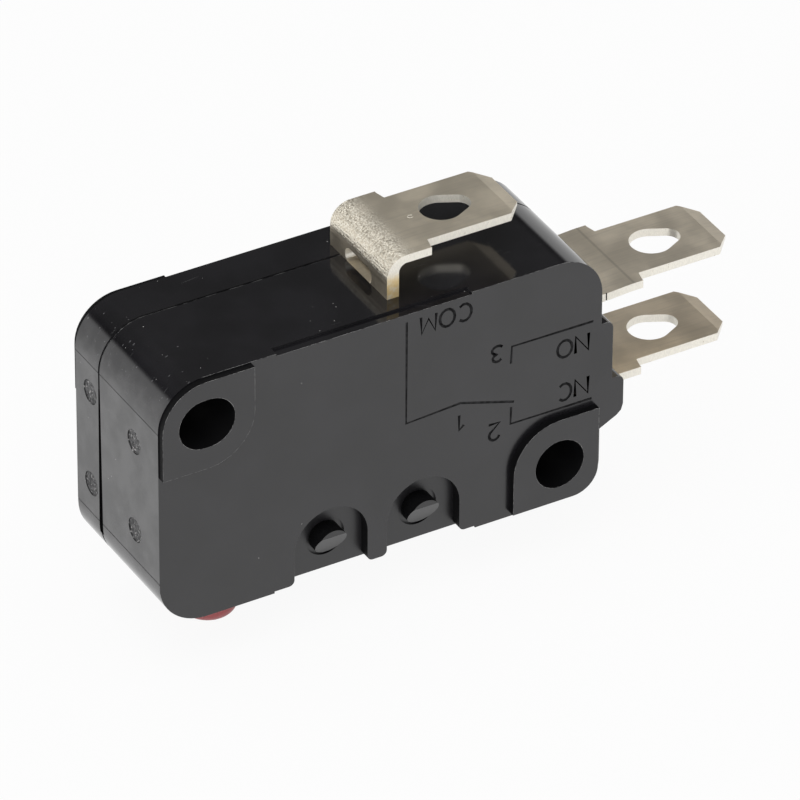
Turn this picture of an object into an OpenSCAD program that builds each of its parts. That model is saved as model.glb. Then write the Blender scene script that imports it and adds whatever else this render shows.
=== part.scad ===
// Pin plunger micro switch, basic snap-action size, with three quick-connect tabs.
// Millimetres. X runs along the body towards the two end tabs, Y runs through the
// thickness (the marked face looks along -Y), Z runs from the plunger to the common tab.
// The origin is the middle of the round mounting hole, half way through the thickness.

/* [Body] */
// length of the moulded body between its two end faces
body_l = 27.8; // [26:0.1:30]
// height of the moulded body, plunger face to common-tab face
body_h = 15.9; // [15:0.1:18]
// thickness of the body across the mounting pads
over_pads = 10.3; // [9.9:0.1:11]
// height of a mounting pad above the flat of the body
pad_rise = 0.43; // [0.2:0.01:0.6]
// thickness of the cover measured from the parting plane to its flat
cover_t = 2.72; // [2.2:0.01:3]
// wall thickness of the moulding
wall_t = 1.2; // [1:0.05:1.4]
// radius of the corner beside the slotted hole
corner_r = 2.8; // [2:0.1:3.2]
// radius of the corner beside the plunger
corner_foot_r = 2.9; // [2:0.1:3.2]
// radius of the corner above the end tabs
corner_top_r = 2.8; // [2:0.1:3.2]
// radius of the corner beside the round mounting hole
corner_low_r = 1.9; // [1:0.1:2.6]
// width and depth of the shadow line along the parting plane
seam = 0.08; // [0.04:0.01:0.15]
// length of the ledge along the upper front edge
ledge_l = 12.2; // [10:0.1:13]
// left end of the ledge from the middle of the body
ledge_from = 6.6; // [6:0.1:7]
// width of the ledge
ledge_w = 0.6; // [0.4:0.05:0.8]
// depth of the ledge
ledge_deep = 0.15; // [0.05:0.01:0.25]
// diameter of the locating pins of the cover
pin_d = 1.4; // [1:0.05:1.5]
// length of the locating pins
pin_len = 3.0; // [2:0.1:3.2]
// clearance of the locating pins, on the radius
pin_gap = 0.02; // [0.01:0.005:0.05]

/* [Mounting] */
// distance of the mounting holes along the body
hole_dx = 22.2; // [21.8:0.1:22.6]
// distance of the mounting holes across the body
hole_dz = 10.3; // [10:0.1:10.6]
// diameter of the round mounting hole
hole_d = 3.1; // [2.9:0.05:3.3]
// extra length of the second, slotted hole
slot_extra = 0.34; // [0.1:0.02:0.6]
// radius of a mounting pad about its hole
pad_r = 2.95; // [2.6:0.05:3.2]
// how far the upper pad stays back from the outline
pad_inset = 0.07; // [0.04:0.01:0.2]
// how far the lower pad stays back from the outline
pad_inset_low = 0.3; // [0.1:0.01:0.4]

/* [Lever seats] */
// distance of the two lever pegs along the body
peg_dx = 5.83; // [5.4:0.01:6.2]
// distance of the first peg from the slotted hole, along the body
peg_from_hole = 7.9; // [7.6:0.05:8.2]
// distance of the pegs from the plunger face
peg_up = 2.2; // [2:0.05:2.5]
// diameter of a peg
peg_d = 1.9; // [1.6:0.05:2.1]
// diameter of the moulded ring round a peg
peg_ring_d = 2.4; // [2.2:0.05:2.8]
// depth of that ring
peg_ring_deep = 0.15; // [0.05:0.01:0.25]
// radius of the arched pocket round a peg
pocket_r = 2.3; // [2:0.05:2.5]
// depth of the pocket
pocket_deep = 0.7; // [0.4:0.05:0.8]
// rounding of the walls at the mouth of the pocket
mouth_r = 0.35; // [0.15:0.05:0.5]
// height of the crest of a peg above the pocket floor
peg_crest = 1.0; // [0.7:0.05:1.1]
// height of the low side of the ramp on a peg
peg_low = 0.12; // [0.05:0.01:0.3]
// width of the flat left on the crest of a peg
peg_flat = 0.38; // [0.2:0.02:0.5]
// reach of the relief along the plunger face, left of the first peg
relief_left = 3.55; // [2.8:0.05:3.7]
// length of that relief
relief_l = 12.7; // [11.6:0.1:13]
// depth of the relief along the plunger face
relief_deep = 0.12; // [0.05:0.01:0.2]

/* [End block] */
// reach of the upper step beyond the end face
step_a = 0.75; // [0.4:0.05:1]
// reach of the lower step beyond the end face
step_b = 1.5; // [1.1:0.05:1.8]
// rounding of the steps
step_r = 0.45; // [0.2:0.05:0.6]
// gap between the upper step and the normally open tab
step_below_no = 0.2; // [0.1:0.02:0.4]
// height of the lower step above the normally closed tab
step_over_nc = 1.4; // [1.1:0.05:1.5]
// depth of the flat of the lower step below the normally closed tab
step_under_nc = 0.55; // [0.4:0.01:0.7]
// depth of the foot of the lower step below the normally closed tab
step_foot = 1.78; // [1.6:0.02:2]

/* [Plunger] */
// diameter of the plunger
plunger_d = 3.4; // [3:0.05:3.8]
// distance of the plunger from the end face
plunger_from_end = 5.5; // [5:0.05:6]
// free position: plunger tip below the slotted hole
free_position = 16.45; // [15.8:0.05:16.8]
// rounding of the plunger tip
tip_r = 0.7; // [0.3:0.05:0.9]
// full travel of the plunger
plunger_travel = 2.0; // [1.2:0.1:2.1]
// running clearance of the plunger in the case, on the radius
plunger_gap = 0.05; // [0.03:0.01:0.1]
// diameter of the collar that keeps the plunger in
collar_d = 4.9; // [4.5:0.1:5.2]
// thickness of the collar
collar_t = 0.9; // [0.6:0.05:1.1]
// diameter of the stem inside the body
stem_d = 2.8; // [2.4:0.1:3]
// radius of the nose that pushes the bow spring
nose_r = 0.7; // [0.5:0.05:0.9]

/* [Tabs] */
// width of the tab stock at the body
stock_w = 6.3; // [5.8:0.1:6.5]
// width of a tab blade
tab_w = 4.75; // [4.5:0.05:4.9]
// thickness of a tab blade
tab_t = 0.5; // [0.4:0.05:0.6]
// thickness of the common terminal inside and at its bend
leg_t = 0.75; // [0.6:0.05:0.85]
// length of a tab blade in front of its shoulder
tab_len = 6.4; // [6:0.05:6.7]
// length of the bevels on the tip of a tab
tip_bevel_l = 0.75; // [0.5:0.05:0.9]
// thickness left at the very tip of a tab
tip_edge_t = 0.2; // [0.1:0.02:0.3]
// bevel of the shoulder
shoulder_cut = 0.15; // [0.05:0.01:0.25]
// width of the egg-shaped hole in a tab, at its wide end
tab_hole_w = 2.48; // [2.2:0.02:2.7]
// width of that hole at its narrow end
tab_hole_tip_w = 1.56; // [1.2:0.02:1.8]
// length of that hole
tab_hole_l = 3.05; // [2.8:0.05:3.3]
// distance of the middle of the hole from the tip of the tab
tab_hole_back = 3.75; // [3.5:0.05:4]
// corner chamfer of a tab along its length
tab_cut_l = 0.95; // [0.6:0.05:1.2]
// corner chamfer of a tab across its width
tab_cut_w = 1.0; // [0.6:0.05:1.3]
// distance of the end tabs' shoulders from the end face
end_shoulder = 3.6; // [3.2:0.1:4]
// height of the normally open tab above the middle of the body
no_up = 3.51; // [3.3:0.01:3.7]
// height of the normally closed tab below the middle of the body
nc_down = 2.2; // [2:0.01:2.4]
// clear height under the common blade
com_up = 2.05; // [1.8:0.05:2.5]
// position of the common leg from the middle of the body
com_x = 1.14; // [0.8:0.02:1.4]
// reach of the common blade from its leg to the shoulder
com_reach = 2.8; // [2.5:0.05:3.2]
// outer radius of the bend of the common terminal
bend_r = 1.25; // [1.1:0.05:1.5]
// inner radius of that bend
bend_in_r = 0.5; // [0.3:0.05:0.55]
// height of the window in the leg of the common terminal
window_h = 1.04; // [0.8:0.02:1.2]
// width of that window
window_w = 2.94; // [2.4:0.02:3.2]
// width of the terminals inside the body
inner_w = 4.4; // [3.8:0.1:4.6]
// upward set of the normally open tab in front of the body
no_set = 0.1; // [0:0.02:0.15]

/* [Contacts] */
// diameter of the fixed contacts
contact_d = 3.0; // [2.4:0.1:3.2]
// height of the fixed contacts
contact_h = 1.2; // [1:0.05:1.3]
// diameter of the moving contact
moving_d = 2.6; // [2:0.1:2.8]
// open gap between the contacts
contact_gap = 1.0; // [0.6:0.05:1.2]
// distance of the contacts from the end face
contact_in = 4.1; // [3.8:0.1:4.5]
// diameter of the riveted shank of a contact
shank_d = 1.5; // [1.2:0.05:1.7]
// distance of the hook of the common terminal from the end face
hook_from_end = 1.9; // [1.7:0.05:2.2]
// mouth of the knife-edge notch in the hook
notch_w = 0.6; // [0.45:0.05:0.7]
// depth of the knife-edge notch
notch_deep = 0.25; // [0.2:0.01:0.35]
// height of the common strip above the contact blade
strip_over = 1.18; // [1:0.02:1.3]
// thickness of the contact blade and of the bow spring
blade_t = 0.2; // [0.12:0.01:0.25]
// width of the wide end of the blade
blade_w = 5.0; // [4.4:0.1:5.4]
// width of the narrow end of the blade
blade_tip_w = 3.4; // [2.6:0.1:3.6]
// distance of the neck of the blade from the plunger
blade_neck = 5.0; // [4.6:0.1:5.6]
// length of the taper at the neck
blade_taper = 2.0; // [1.4:0.1:2.4]
// width of the two rails beside the window of the blade
blade_rail = 1.0; // [0.8:0.05:1.1]
// width of the bow spring
bow_w = 2.4; // [1.8:0.1:2.8]
// height of the bow spring
bow_sag = 2.6; // [2.4:0.05:2.9]
// half the span of the bow spring
bow_half = 1.6; // [1.5:0.02:1.7]
// clearance kept between parts that move
free_gap = 0.03; // [0.02:0.005:0.05]

/* [Hidden] */
$fn = 64;
eps = 0.01;
weld = 0.1;
seat_gap = 0.01;
contact_edge = 0.4;
tongue_w = 2.2;
tongue_t = 0.6;
main_t = over_pads - 2*pad_rise;
front_y = -main_t/2;
back_y = main_t/2;
part_y = back_y - cover_t;
half_l = body_l/2;
half_h = body_h/2;
hx = hole_dx/2;
hz = hole_dz/2;
hole_r = hole_d/2;
boss_r = hole_r + wall_t;
in_front = front_y + wall_t;
in_back = back_y - wall_t;
in_x = half_l - wall_t;
in_z = half_h - wall_t;
peg_x1 = -hx + peg_from_hole;
peg_x2 = peg_x1 + peg_dx;
peg_z = -half_h + peg_up;
plunger_x = -half_l + plunger_from_end;
tip_z = hz - free_position;
plunger_bore_r = plunger_d/2 + plunger_gap;
collar_z = -in_z + free_gap;
com_top = half_h + com_up + tab_t;
com_sh = com_x + com_reach;
com_tip = com_sh + tab_len;
end_sh = half_l + end_shoulder;
end_tip = end_sh + tab_len;
no_lo = no_up - tab_t/2;
no_hi = no_up + tab_t/2;
nc_lo = -nc_down - tab_t/2;
nc_hi = -nc_down + tab_t/2;
con_x = half_l - contact_in;
inner_end = con_x - contact_d/2 - contact_edge;
nc_face = nc_hi + contact_h;
no_face = no_lo - contact_h;
moving_lo = nc_face + free_gap;
moving_hi = no_face - contact_gap;
blade_z = (moving_lo + moving_hi)/2;
strip_lo = blade_z + strip_over;
strip_hi = strip_lo + leg_t;
strip_left = -half_l + hook_from_end;
pivot_x = strip_left + leg_t;
blade_left = pivot_x - notch_deep*(1 - (blade_t/2 + free_gap)/(notch_w/2));
neck_x = plunger_x + blade_neck;
bow_over = 0.05;
bow_top = blade_z + blade_t/2 + bow_over;
bow_r = (bow_half*bow_half + bow_sag*bow_sag)/(2*bow_sag);
bow_low = bow_top - bow_sag;
bow_cz = bow_low + bow_r;
seat_z = blade_z - blade_t/2;
bow_bulge = sqrt(bow_r*bow_r - (seat_z - bow_cz)*(seat_z - bow_cz));
bow_left = plunger_x - bow_bulge - free_gap;
tongue_x = plunger_x + bow_bulge + seat_gap;
push_z = bow_low - free_gap;
pin_post_r = pin_d/2 + 0.6;
pin_bx = 5.0;
pin_bz = -half_h + wall_t + pin_d/2 + 0.45;
nc_mid = -nc_down;

// helpers

// body coordinates are about the middle of the body; the part's origin is the round hole
module place() translate([-hx, 0, hz]) children();

// a flat XZ shape given a thickness from y0 to y1
module slab(y0, y1) translate([0, y1, 0]) rotate([90, 0, 0]) linear_extrude(y1 - y0) children();

// a round bar along Y
module bar_y(x, z, r, y0, y1) translate([x, y1, z]) rotate([90, 0, 0]) cylinder(h = y1 - y0, r = r);

// what is cut off a square corner to leave a radius
module corner(x, z, sx, sz, r) translate([x, z]) difference() {
  translate([sx > 0 ? -r : -1, sz > 0 ? -r : -1]) square([r + 1, r + 1]);
  translate([-sx*r, -sz*r]) circle(r = r);
}

// side view of the body, drawn e inside its true outline
module outline(e = 0) {
  difference() {
    translate([-half_l + e, -half_h + e]) square([body_l - 2*e, body_h - 2*e]);
    corner(-half_l + e, half_h - e, -1, 1, corner_r - e);
    corner(-half_l + e, -half_h + e, -1, -1, corner_foot_r - e);
    corner(half_l - e, half_h - e, 1, 1, corner_top_r - e);
    corner(half_l - e, -half_h + e, 1, -1, corner_low_r - e);
  }
  // upper step below the normally open tab
  step_x = half_l + step_a - e;
  step_z = no_lo - step_below_no - e;
  difference() {
    translate([in_x, nc_mid]) square([step_x - in_x, step_z - nc_mid]);
    corner(step_x, step_z, 1, 1, step_r);
  }
  // lower step round the normally closed tab, with a sloping foot
  nose_x = half_l + step_b - e;
  top_z = nc_mid + step_over_nc - e;
  flat_z = nc_mid - step_under_nc + e;
  foot_z = nc_mid - step_foot + e;
  fall = step_foot - step_under_nc;
  difference() {
    polygon([[in_x, top_z], [nose_x, top_z], [nose_x, flat_z], [nose_x - 0.08*step_b, flat_z - 0.33*fall],
             [nose_x - 0.27*step_b, flat_z - 0.54*fall], [half_l - e, foot_z], [in_x, foot_z - 0.4]]);
    corner(nose_x, top_z, 1, 1, step_r);
  }
}

// mounting pad about the slotted hole
module pad_upper(e) intersection() {
  outline(e);
  translate([-hx, hz]) union() {
    circle(r = pad_r);
    translate([-hx, 0]) square([hx + pad_r, hz]);
    translate([-hx, -pad_r]) square([hx, pad_r + 1]);
  }
}

// mounting pad about the round hole
module pad_lower(e) intersection() {
  outline(e);
  translate([hx, -hz]) union() {
    circle(r = pad_r);
    translate([-pad_r, -hz]) square([hx + pad_r, hz]);
    translate([0, -hz]) square([half_l - hx - e, hz + pad_r]);
  }
}

module slot_shape(r, extra) {
  translate([-extra/2, -r]) square([extra, 2*r]);
  for (s = [-1, 1]) translate([s*extra/2, 0]) circle(r = r);
}

// an egg about its middle, with its wide end towards the body
module egg_shape(r_wide, r_tip, length) {
  x_wide = r_wide - length/2;
  x_tip = length/2 - r_tip;
  lean = asin((r_wide - r_tip)/(x_tip - x_wide));
  translate([x_wide, 0]) circle(r = r_wide);
  translate([x_tip, 0]) circle(r = r_tip);
  // the sides touch both circles
  polygon([[x_wide + r_wide*sin(lean), r_wide*cos(lean)], [x_tip + r_tip*sin(lean), r_tip*cos(lean)],
           [x_tip + r_tip*sin(lean), -r_tip*cos(lean)], [x_wide + r_wide*sin(lean), -r_wide*cos(lean)]]);
}

// the two mounting holes, right through
module mounting_holes() {
  bar_y(hx, -hz, hole_r, -over_pads, over_pads);
  slab(-over_pads, over_pads) translate([-hx, hz]) slot_shape(hole_r, slot_extra);
}

// hollow of the body with the posts of the holes and pins left standing
module hollow() difference() {
  difference() {
    translate([-in_x, -in_z]) square([2*in_x, 2*in_z]);
    corner(-in_x, in_z, -1, 1, corner_r - wall_t);
    corner(-in_x, -in_z, -1, -1, corner_foot_r - wall_t);
    corner(in_x, in_z, 1, 1, 1);
    corner(in_x, -in_z, 1, -1, 1);
  }
  translate([-hx, hz]) circle(r = boss_r + slot_extra/2);
  translate([-half_l, hz]) square([half_l - hx + boss_r, half_h]);
  translate([-half_l, hz - boss_r]) square([half_l - hx, half_h]);
  translate([hx, -hz]) circle(r = boss_r);
  translate([hx - boss_r, -half_h]) square([half_l, half_h - hz]);
  translate([hx, -half_h]) square([half_l, half_h - hz + boss_r]);
  for (p = [[hx, hz], [pin_bx, pin_bz]]) translate(p) circle(r = pin_post_r);
  translate([hx - pin_post_r, hz]) square([half_l, half_h]);
  translate([pin_bx - pin_post_r, -half_h]) square([2*pin_post_r, half_h + pin_bz]);
}

// side view of a lever pocket
module pocket_shape(x) translate([x, peg_z]) {
  circle(r = pocket_r);
  translate([-pocket_r, -half_h]) square([2*pocket_r, half_h]);
  for (s = [-1, 1]) corner(s*pocket_r, relief_deep - peg_up, -s, -1, mouth_r, $fn = 24);
}

// lever pockets on one face; side -1 is the marked face
module pockets(side) for (x = [peg_x1, peg_x2])
  slab(side < 0 ? front_y - 1 : back_y - pocket_deep, side < 0 ? front_y + pocket_deep : back_y + 1)
    pocket_shape(x);

// ring moulded round the foot of each peg
module peg_rings(side) for (x = [peg_x1, peg_x2]) {
  y0 = side*(main_t/2 - pocket_deep);
  y1 = y0 - side*peg_ring_deep;
  difference() {
    bar_y(x, peg_z, peg_ring_d/2, min(y0, y1), max(y0, y1));
    bar_y(x, peg_z, peg_d/2, y0 - 1, y0 + 1);
  }
}

// pegs with a ramp, high on the side away from the plunger
module pegs(side) for (x = [peg_x1, peg_x2]) {
  y0 = side*(main_t/2 - pocket_deep);
  root = 2*peg_ring_deep;
  r = peg_d/2;
  slope = (peg_crest - peg_low)/(peg_d - peg_flat);
  over = 0.1;
  difference() {
    bar_y(x, peg_z, r, side < 0 ? y0 - peg_crest : y0 - root, side < 0 ? y0 + root : y0 + peg_crest);
    translate([x - peg_d, y0, peg_z]) rotate([90, 0, 90]) linear_extrude(2*peg_d)
      polygon([[side*peg_crest, r - peg_flat], [side*(peg_crest + 1), r - peg_flat],
               [side*(peg_crest + 1), -r - over], [side*(peg_low - over*slope), -r - over]]);
  }
}

// shallow relief of the plunger face for the bridge of a lever
module relief() translate([peg_x1 - relief_left, -over_pads, -half_h - 1])
  cube([relief_l, 2*over_pads, 1 + relief_deep]);

// openings in the walls for the three terminals
module terminal_slots() {
  translate([com_x, -stock_w/2, in_z - 1]) cube([leg_t, stock_w, half_h]);
  for (z = [no_lo, nc_lo]) {
    translate([in_x, -stock_w/2, z]) cube([end_shoulder + step_b, stock_w, tab_t]);
    // seat in the posts beside the wall
    translate([inner_end - weld, -inner_w/2, z]) cube([in_x - inner_end + 2*weld, inner_w, tab_t]);
  }
}

// the moulded body

module case() color([0.20, 0.20, 0.21]) place() {
  difference() {
    union() {
      slab(front_y, part_y - seam) outline();
      slab(part_y - seam - eps, part_y) outline(seam);
      slab(-over_pads/2, front_y + weld) pad_upper(pad_inset);
      slab(-over_pads/2, front_y + weld) pad_lower(pad_inset_low);
    }
    slab(in_front, part_y + 1) hollow();
    mounting_holes();
    pockets(-1);
    peg_rings(-1);
    relief();
    terminal_slots();
    // guide for the plunger
    translate([plunger_x, 0, -half_h - 1]) cylinder(h = wall_t + 2, r = plunger_bore_r);
    // blind holes for the locating pins of the cover
    for (p = [[hx, hz], [pin_bx, pin_bz]])
      bar_y(p[0], p[1], pin_d/2 + pin_gap, part_y - pin_len - 0.2, part_y + 1);
    // ledge along the upper front edge
    translate([-ledge_from, front_y - 1, half_h - ledge_deep]) cube([ledge_l, 1 + ledge_w, 1]);
  }
  pegs(-1);
}

module cover() color([0.19, 0.19, 0.20]) place() {
  difference() {
    union() {
      slab(part_y + seam, back_y) outline();
      slab(part_y, part_y + seam + eps) outline(seam);
      slab(back_y - weld, over_pads/2) pad_upper(pad_inset + weld);
      slab(back_y - weld, over_pads/2) pad_lower(pad_inset_low);
    }
    slab(part_y - 1, in_back) hollow();
    mounting_holes();
    pockets(1);
    peg_rings(1);
    relief();
    terminal_slots();
  }
  pegs(1);
  // locating pins
  for (p = [[hx, hz], [pin_bx, pin_bz]]) bar_y(p[0], p[1], pin_d/2, part_y - pin_len, part_y + weld);
}

// the plunger

module plunger() color([0.68, 0.20, 0.20]) place() translate([plunger_x, 0, 0]) rotate_extrude() union() {
  r = plunger_d/2;
  translate([0, tip_z]) square([r - tip_r, tip_r + weld]);
  translate([0, tip_z + tip_r]) square([r, collar_z - tip_z - tip_r + weld]);
  intersection() {
    translate([r - tip_r, tip_z + tip_r]) circle(r = tip_r);
    translate([0, tip_z]) square([r, tip_r + weld]);
  }
  translate([0, collar_z]) square([collar_d/2, collar_t]);
  // stem and the nose under the bow spring
  translate([0, collar_z]) square([stem_d/2, push_z - nose_r - collar_z]);
  translate([0, push_z - nose_r - weld]) square([stem_d/2 - nose_r, nose_r + weld]);
  intersection() {
    translate([stem_d/2 - nose_r, push_z - nose_r]) circle(r = nose_r);
    translate([0, push_z - nose_r - weld]) square([stem_d/2, nose_r + weld]);
  }
}

// terminals

// what is cut from a strip to leave a shoulder, a blade and a chamfered tip
module blade_cuts(x_sh, x_tip, z0, z1) translate([0, 0, z0]) linear_extrude(z1 - z0) {
  tip_w = tab_w/2 - tab_cut_w;
  for (s = [-1, 1]) polygon([[x_sh, s*stock_w], [x_sh, s*(stock_w/2 - shoulder_cut)],
    [x_sh + shoulder_cut, s*tab_w/2], [x_tip - tab_cut_l, s*tab_w/2], [x_tip, s*tip_w],
    [x_tip + 1, s*tip_w], [x_tip + 1, s*stock_w]]);
  translate([x_tip - tab_hole_back, 0]) egg_shape(tab_hole_w/2, tab_hole_tip_w/2, tab_hole_l);
}

// bevels on both faces of the tip
module tip_bevels(x_tip, z_mid) slab(-stock_w, stock_w) for (s = [-1, 1])
  polygon([[x_tip - tip_bevel_l, z_mid + s*tab_t/2], [x_tip + weld, z_mid + s*tip_edge_t/2],
           [x_tip + weld, z_mid + s*1], [x_tip - tip_bevel_l, z_mid + s*1]]);

module com_terminal() color([0.76, 0.72, 0.62]) place() difference() {
  union() {
    // blade, bend and leg outside the body
    slab(-stock_w/2, stock_w/2) {
      foot_z = in_z - 0.3;
      translate([com_x + bend_r, com_top - tab_t]) square([com_tip - com_x - bend_r, tab_t]);
      translate([com_x, foot_z]) square([leg_t, com_top - bend_r - foot_z]);
      difference() {
        intersection() {
          translate([com_x + bend_r, com_top - bend_r]) circle(r = bend_r);
          translate([com_x, com_top - bend_r]) square([bend_r, bend_r]);
        }
        translate([com_x + leg_t, com_top - bend_r - eps]) square([bend_r, bend_r - tab_t - bend_in_r + eps]);
        translate([com_x + leg_t + bend_in_r, com_top - tab_t - bend_in_r]) circle(r = bend_in_r);
      }
    }
    // leg and strip inside
    slab(-inner_w/2, inner_w/2) {
      difference() {
        union() {
          translate([com_x, strip_lo]) square([leg_t, half_h - strip_lo]);
          translate([strip_left, strip_lo]) square([com_x + leg_t - strip_left, leg_t]);
        }
        corner(com_x + leg_t, strip_lo, 1, -1, leg_t - eps);
      }
      // hook with the knife-edge notch for the blade
      difference() {
        translate([strip_left, blade_z - notch_w]) square([leg_t, strip_hi - blade_z + notch_w]);
        polygon([[pivot_x + eps, blade_z + notch_w/2], [pivot_x - notch_deep, blade_z],
                 [pivot_x + eps, blade_z - notch_w/2]]);
      }
    }
    // lanced tongue that takes the thrust of the bow spring
    translate([tongue_x, -tongue_w/2, seat_z]) cube([tongue_t, tongue_w, strip_lo - seat_z + weld]);
  }
  blade_cuts(com_sh, com_tip, com_top - 1, com_top + 1);
  tip_bevels(com_tip, com_top - tab_t/2);
  // window in the leg, just above the body
  translate([com_x - 1, 0, half_h + window_h/2 - weld]) rotate([90, 0, 90]) linear_extrude(3)
    slot_shape(window_h/2, window_w - window_h);
}

// end tab, set by some amount in front of the body; up is the middle of its thickness
module end_terminal(up, set) difference() {
  x_a = end_sh - 0.67*end_shoulder;
  x_b = end_sh - 0.2*end_shoulder;
  lo = up - tab_t/2;
  hi = up + tab_t/2;
  slab(-stock_w/2, stock_w/2)
    polygon([[inner_end, lo], [x_a, lo], [x_b, lo + set], [end_tip, lo + set],
             [end_tip, hi + set], [x_b, hi + set], [x_a, hi], [inner_end, hi]]);
  blade_cuts(end_sh, end_tip, up - 1, up + 1);
  tip_bevels(end_tip, up + set);
  // narrower inside the body
  for (s = [-1, 1]) translate([inner_end - 1, s > 0 ? inner_w/2 : -inner_w/2 - stock_w, up - 1])
    cube([in_x - inner_end + 1, stock_w, 2]);
  // seat of the contact's shank
  translate([con_x, 0, up - 1]) cylinder(h = 2, d = shank_d);
}

module no_terminal() color([0.76, 0.72, 0.62]) place() end_terminal(no_up, no_set);

module nc_terminal() color([0.76, 0.72, 0.62]) place() end_terminal(nc_mid, 0);

// contacts and springs

module no_contact() color([0.82, 0.82, 0.80]) place() translate([con_x, 0, 0]) {
  translate([0, 0, no_face]) cylinder(h = contact_h, d = contact_d);
  translate([0, 0, no_lo - weld]) cylinder(h = tab_t + weld, d = shank_d);
}

module nc_contact() color([0.82, 0.82, 0.80]) place() translate([con_x, 0, 0]) {
  translate([0, 0, nc_hi]) cylinder(h = contact_h, d = contact_d);
  translate([0, 0, nc_lo]) cylinder(h = tab_t + weld, d = shank_d);
}

module moving_contact() color([0.82, 0.82, 0.80]) place() translate([con_x, 0, 0]) {
  under = blade_z - blade_t/2;
  over = blade_z + blade_t/2;
  translate([0, 0, moving_lo]) cylinder(h = under - moving_lo, d = moving_d);
  translate([0, 0, over]) cylinder(h = moving_hi - over, d = moving_d);
  translate([0, 0, under - weld]) cylinder(h = over - under + 2*weld, d = shank_d);
}

module contact_blade() color([0.78, 0.50, 0.30]) place() translate([0, 0, blade_z - blade_t/2])
  linear_extrude(blade_t) difference() {
    wide = blade_w/2;
    slim = blade_tip_w/2;
    end_x = neck_x + blade_taper;
    union() {
      translate([blade_left, -wide]) square([neck_x - blade_left + weld, blade_w]);
      polygon([[neck_x, -wide], [end_x, -slim], [con_x, -slim], [con_x, slim], [end_x, slim], [neck_x, wide]]);
      translate([con_x, 0]) circle(r = slim);
    }
    // window for the bow spring and the tongue
    translate([bow_left, blade_rail - wide]) square([neck_x - blade_rail - bow_left, blade_w - 2*blade_rail]);
    translate([con_x, 0]) circle(d = shank_d);
  }

module bow_spring() color([0.80, 0.56, 0.34]) place() slab(-bow_w/2, bow_w/2) difference() {
  translate([plunger_x, bow_cz]) circle(r = bow_r);
  translate([plunger_x, bow_cz]) circle(r = bow_r - blade_t);
  translate([plunger_x - 2*bow_r, bow_top]) square([4*bow_r, 4*bow_r]);
}

case();
cover();
plunger();
com_terminal();
no_terminal();
nc_terminal();
no_contact();
nc_contact();
contact_blade();
moving_contact();
bow_spring();
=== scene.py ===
# %% [markdown]
# # A pin plunger micro switch, dressed
#
# The switch is a flat black moulding of two halves with a red pin underneath, two mounting holes,
# seats for a lever and three stamped tabs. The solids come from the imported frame, in metres. This
# lesson softens their edges, cuts the fine marks, gives every piece its finish, and lights it.

import math

import bmesh
import bpy
from mathutils import Matrix, Vector


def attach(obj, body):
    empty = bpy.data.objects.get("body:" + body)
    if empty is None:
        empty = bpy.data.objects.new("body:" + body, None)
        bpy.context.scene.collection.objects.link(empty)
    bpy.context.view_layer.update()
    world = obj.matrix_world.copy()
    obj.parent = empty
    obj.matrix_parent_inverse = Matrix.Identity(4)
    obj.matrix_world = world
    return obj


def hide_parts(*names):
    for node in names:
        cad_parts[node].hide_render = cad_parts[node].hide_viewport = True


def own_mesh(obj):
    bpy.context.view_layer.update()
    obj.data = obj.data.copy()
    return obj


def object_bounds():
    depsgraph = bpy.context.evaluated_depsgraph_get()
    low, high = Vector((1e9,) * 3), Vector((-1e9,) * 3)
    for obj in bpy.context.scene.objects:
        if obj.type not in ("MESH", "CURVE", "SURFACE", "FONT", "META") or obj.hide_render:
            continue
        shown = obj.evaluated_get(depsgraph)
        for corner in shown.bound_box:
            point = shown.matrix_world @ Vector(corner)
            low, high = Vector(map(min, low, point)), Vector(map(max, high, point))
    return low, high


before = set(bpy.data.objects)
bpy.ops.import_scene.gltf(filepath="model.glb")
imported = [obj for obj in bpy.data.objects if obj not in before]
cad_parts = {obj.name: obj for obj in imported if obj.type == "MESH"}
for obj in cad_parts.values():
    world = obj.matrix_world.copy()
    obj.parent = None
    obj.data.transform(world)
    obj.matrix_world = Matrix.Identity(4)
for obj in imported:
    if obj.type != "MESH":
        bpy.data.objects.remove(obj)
cad_low, cad_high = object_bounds()
print("CAD box", [round(v * 1000, 2) for v in (cad_high - cad_low)], "mm")

# %% [markdown]
# ## A ruler on the body
#
# The frame's origin is the middle of the round mounting hole. Places on the moulding are easier to
# read from the middle of the body, in millimetres. All mesh work below is done with that ruler, and a
# finished mesh is moved and scaled into the frame once, at the end.

# %% Ruler
MM = 0.001
MID = Vector((-11.1, 0.0, 5.15))
FRONT_Y = -4.72
BACK_Y = 4.72
SEAM_Y = 2.0
END_X = -13.9


def to_ruler(bm):
    """From the frame's metres to millimetres about the middle of the body."""
    bmesh.ops.scale(bm, vec=(1 / MM, 1 / MM, 1 / MM), verts=bm.verts)
    bmesh.ops.translate(bm, vec=-MID, verts=bm.verts)


def to_frame(bm):
    """From millimetres about the middle of the body to the frame's metres."""
    bmesh.ops.translate(bm, vec=MID, verts=bm.verts)
    bmesh.ops.scale(bm, vec=(MM, MM, MM), verts=bm.verts)


print("middle of the body at", [round(v, 2) for v in MID], "mm from the round hole")

# %% [markdown]
# ## Camera
#
# A long lens far away keeps the edges of the body almost parallel, as in the photograph. Its place and
# turn come from fitting the holes, corners and tabs of the part to the picture, so they are plain numbers.

# %% Camera
CAMERA_PLACE = (-0.206994, -0.346946, 0.281725)
CAMERA_TURN = (55.21716, -0.3002, -29.71672)
camera_data = bpy.data.cameras.new("camera")
camera_data.lens = 396.476
camera_data.sensor_width = 36.0
camera_data.clip_start = 0.05
camera_data.clip_end = 20.0
camera = bpy.data.objects.new("camera", camera_data)
bpy.context.scene.collection.objects.link(camera)
camera.location = CAMERA_PLACE
camera.rotation_euler = [math.radians(angle) for angle in CAMERA_TURN]
bpy.context.scene.camera = camera
print("camera distance", round(camera.location.length, 3), "m")

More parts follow.
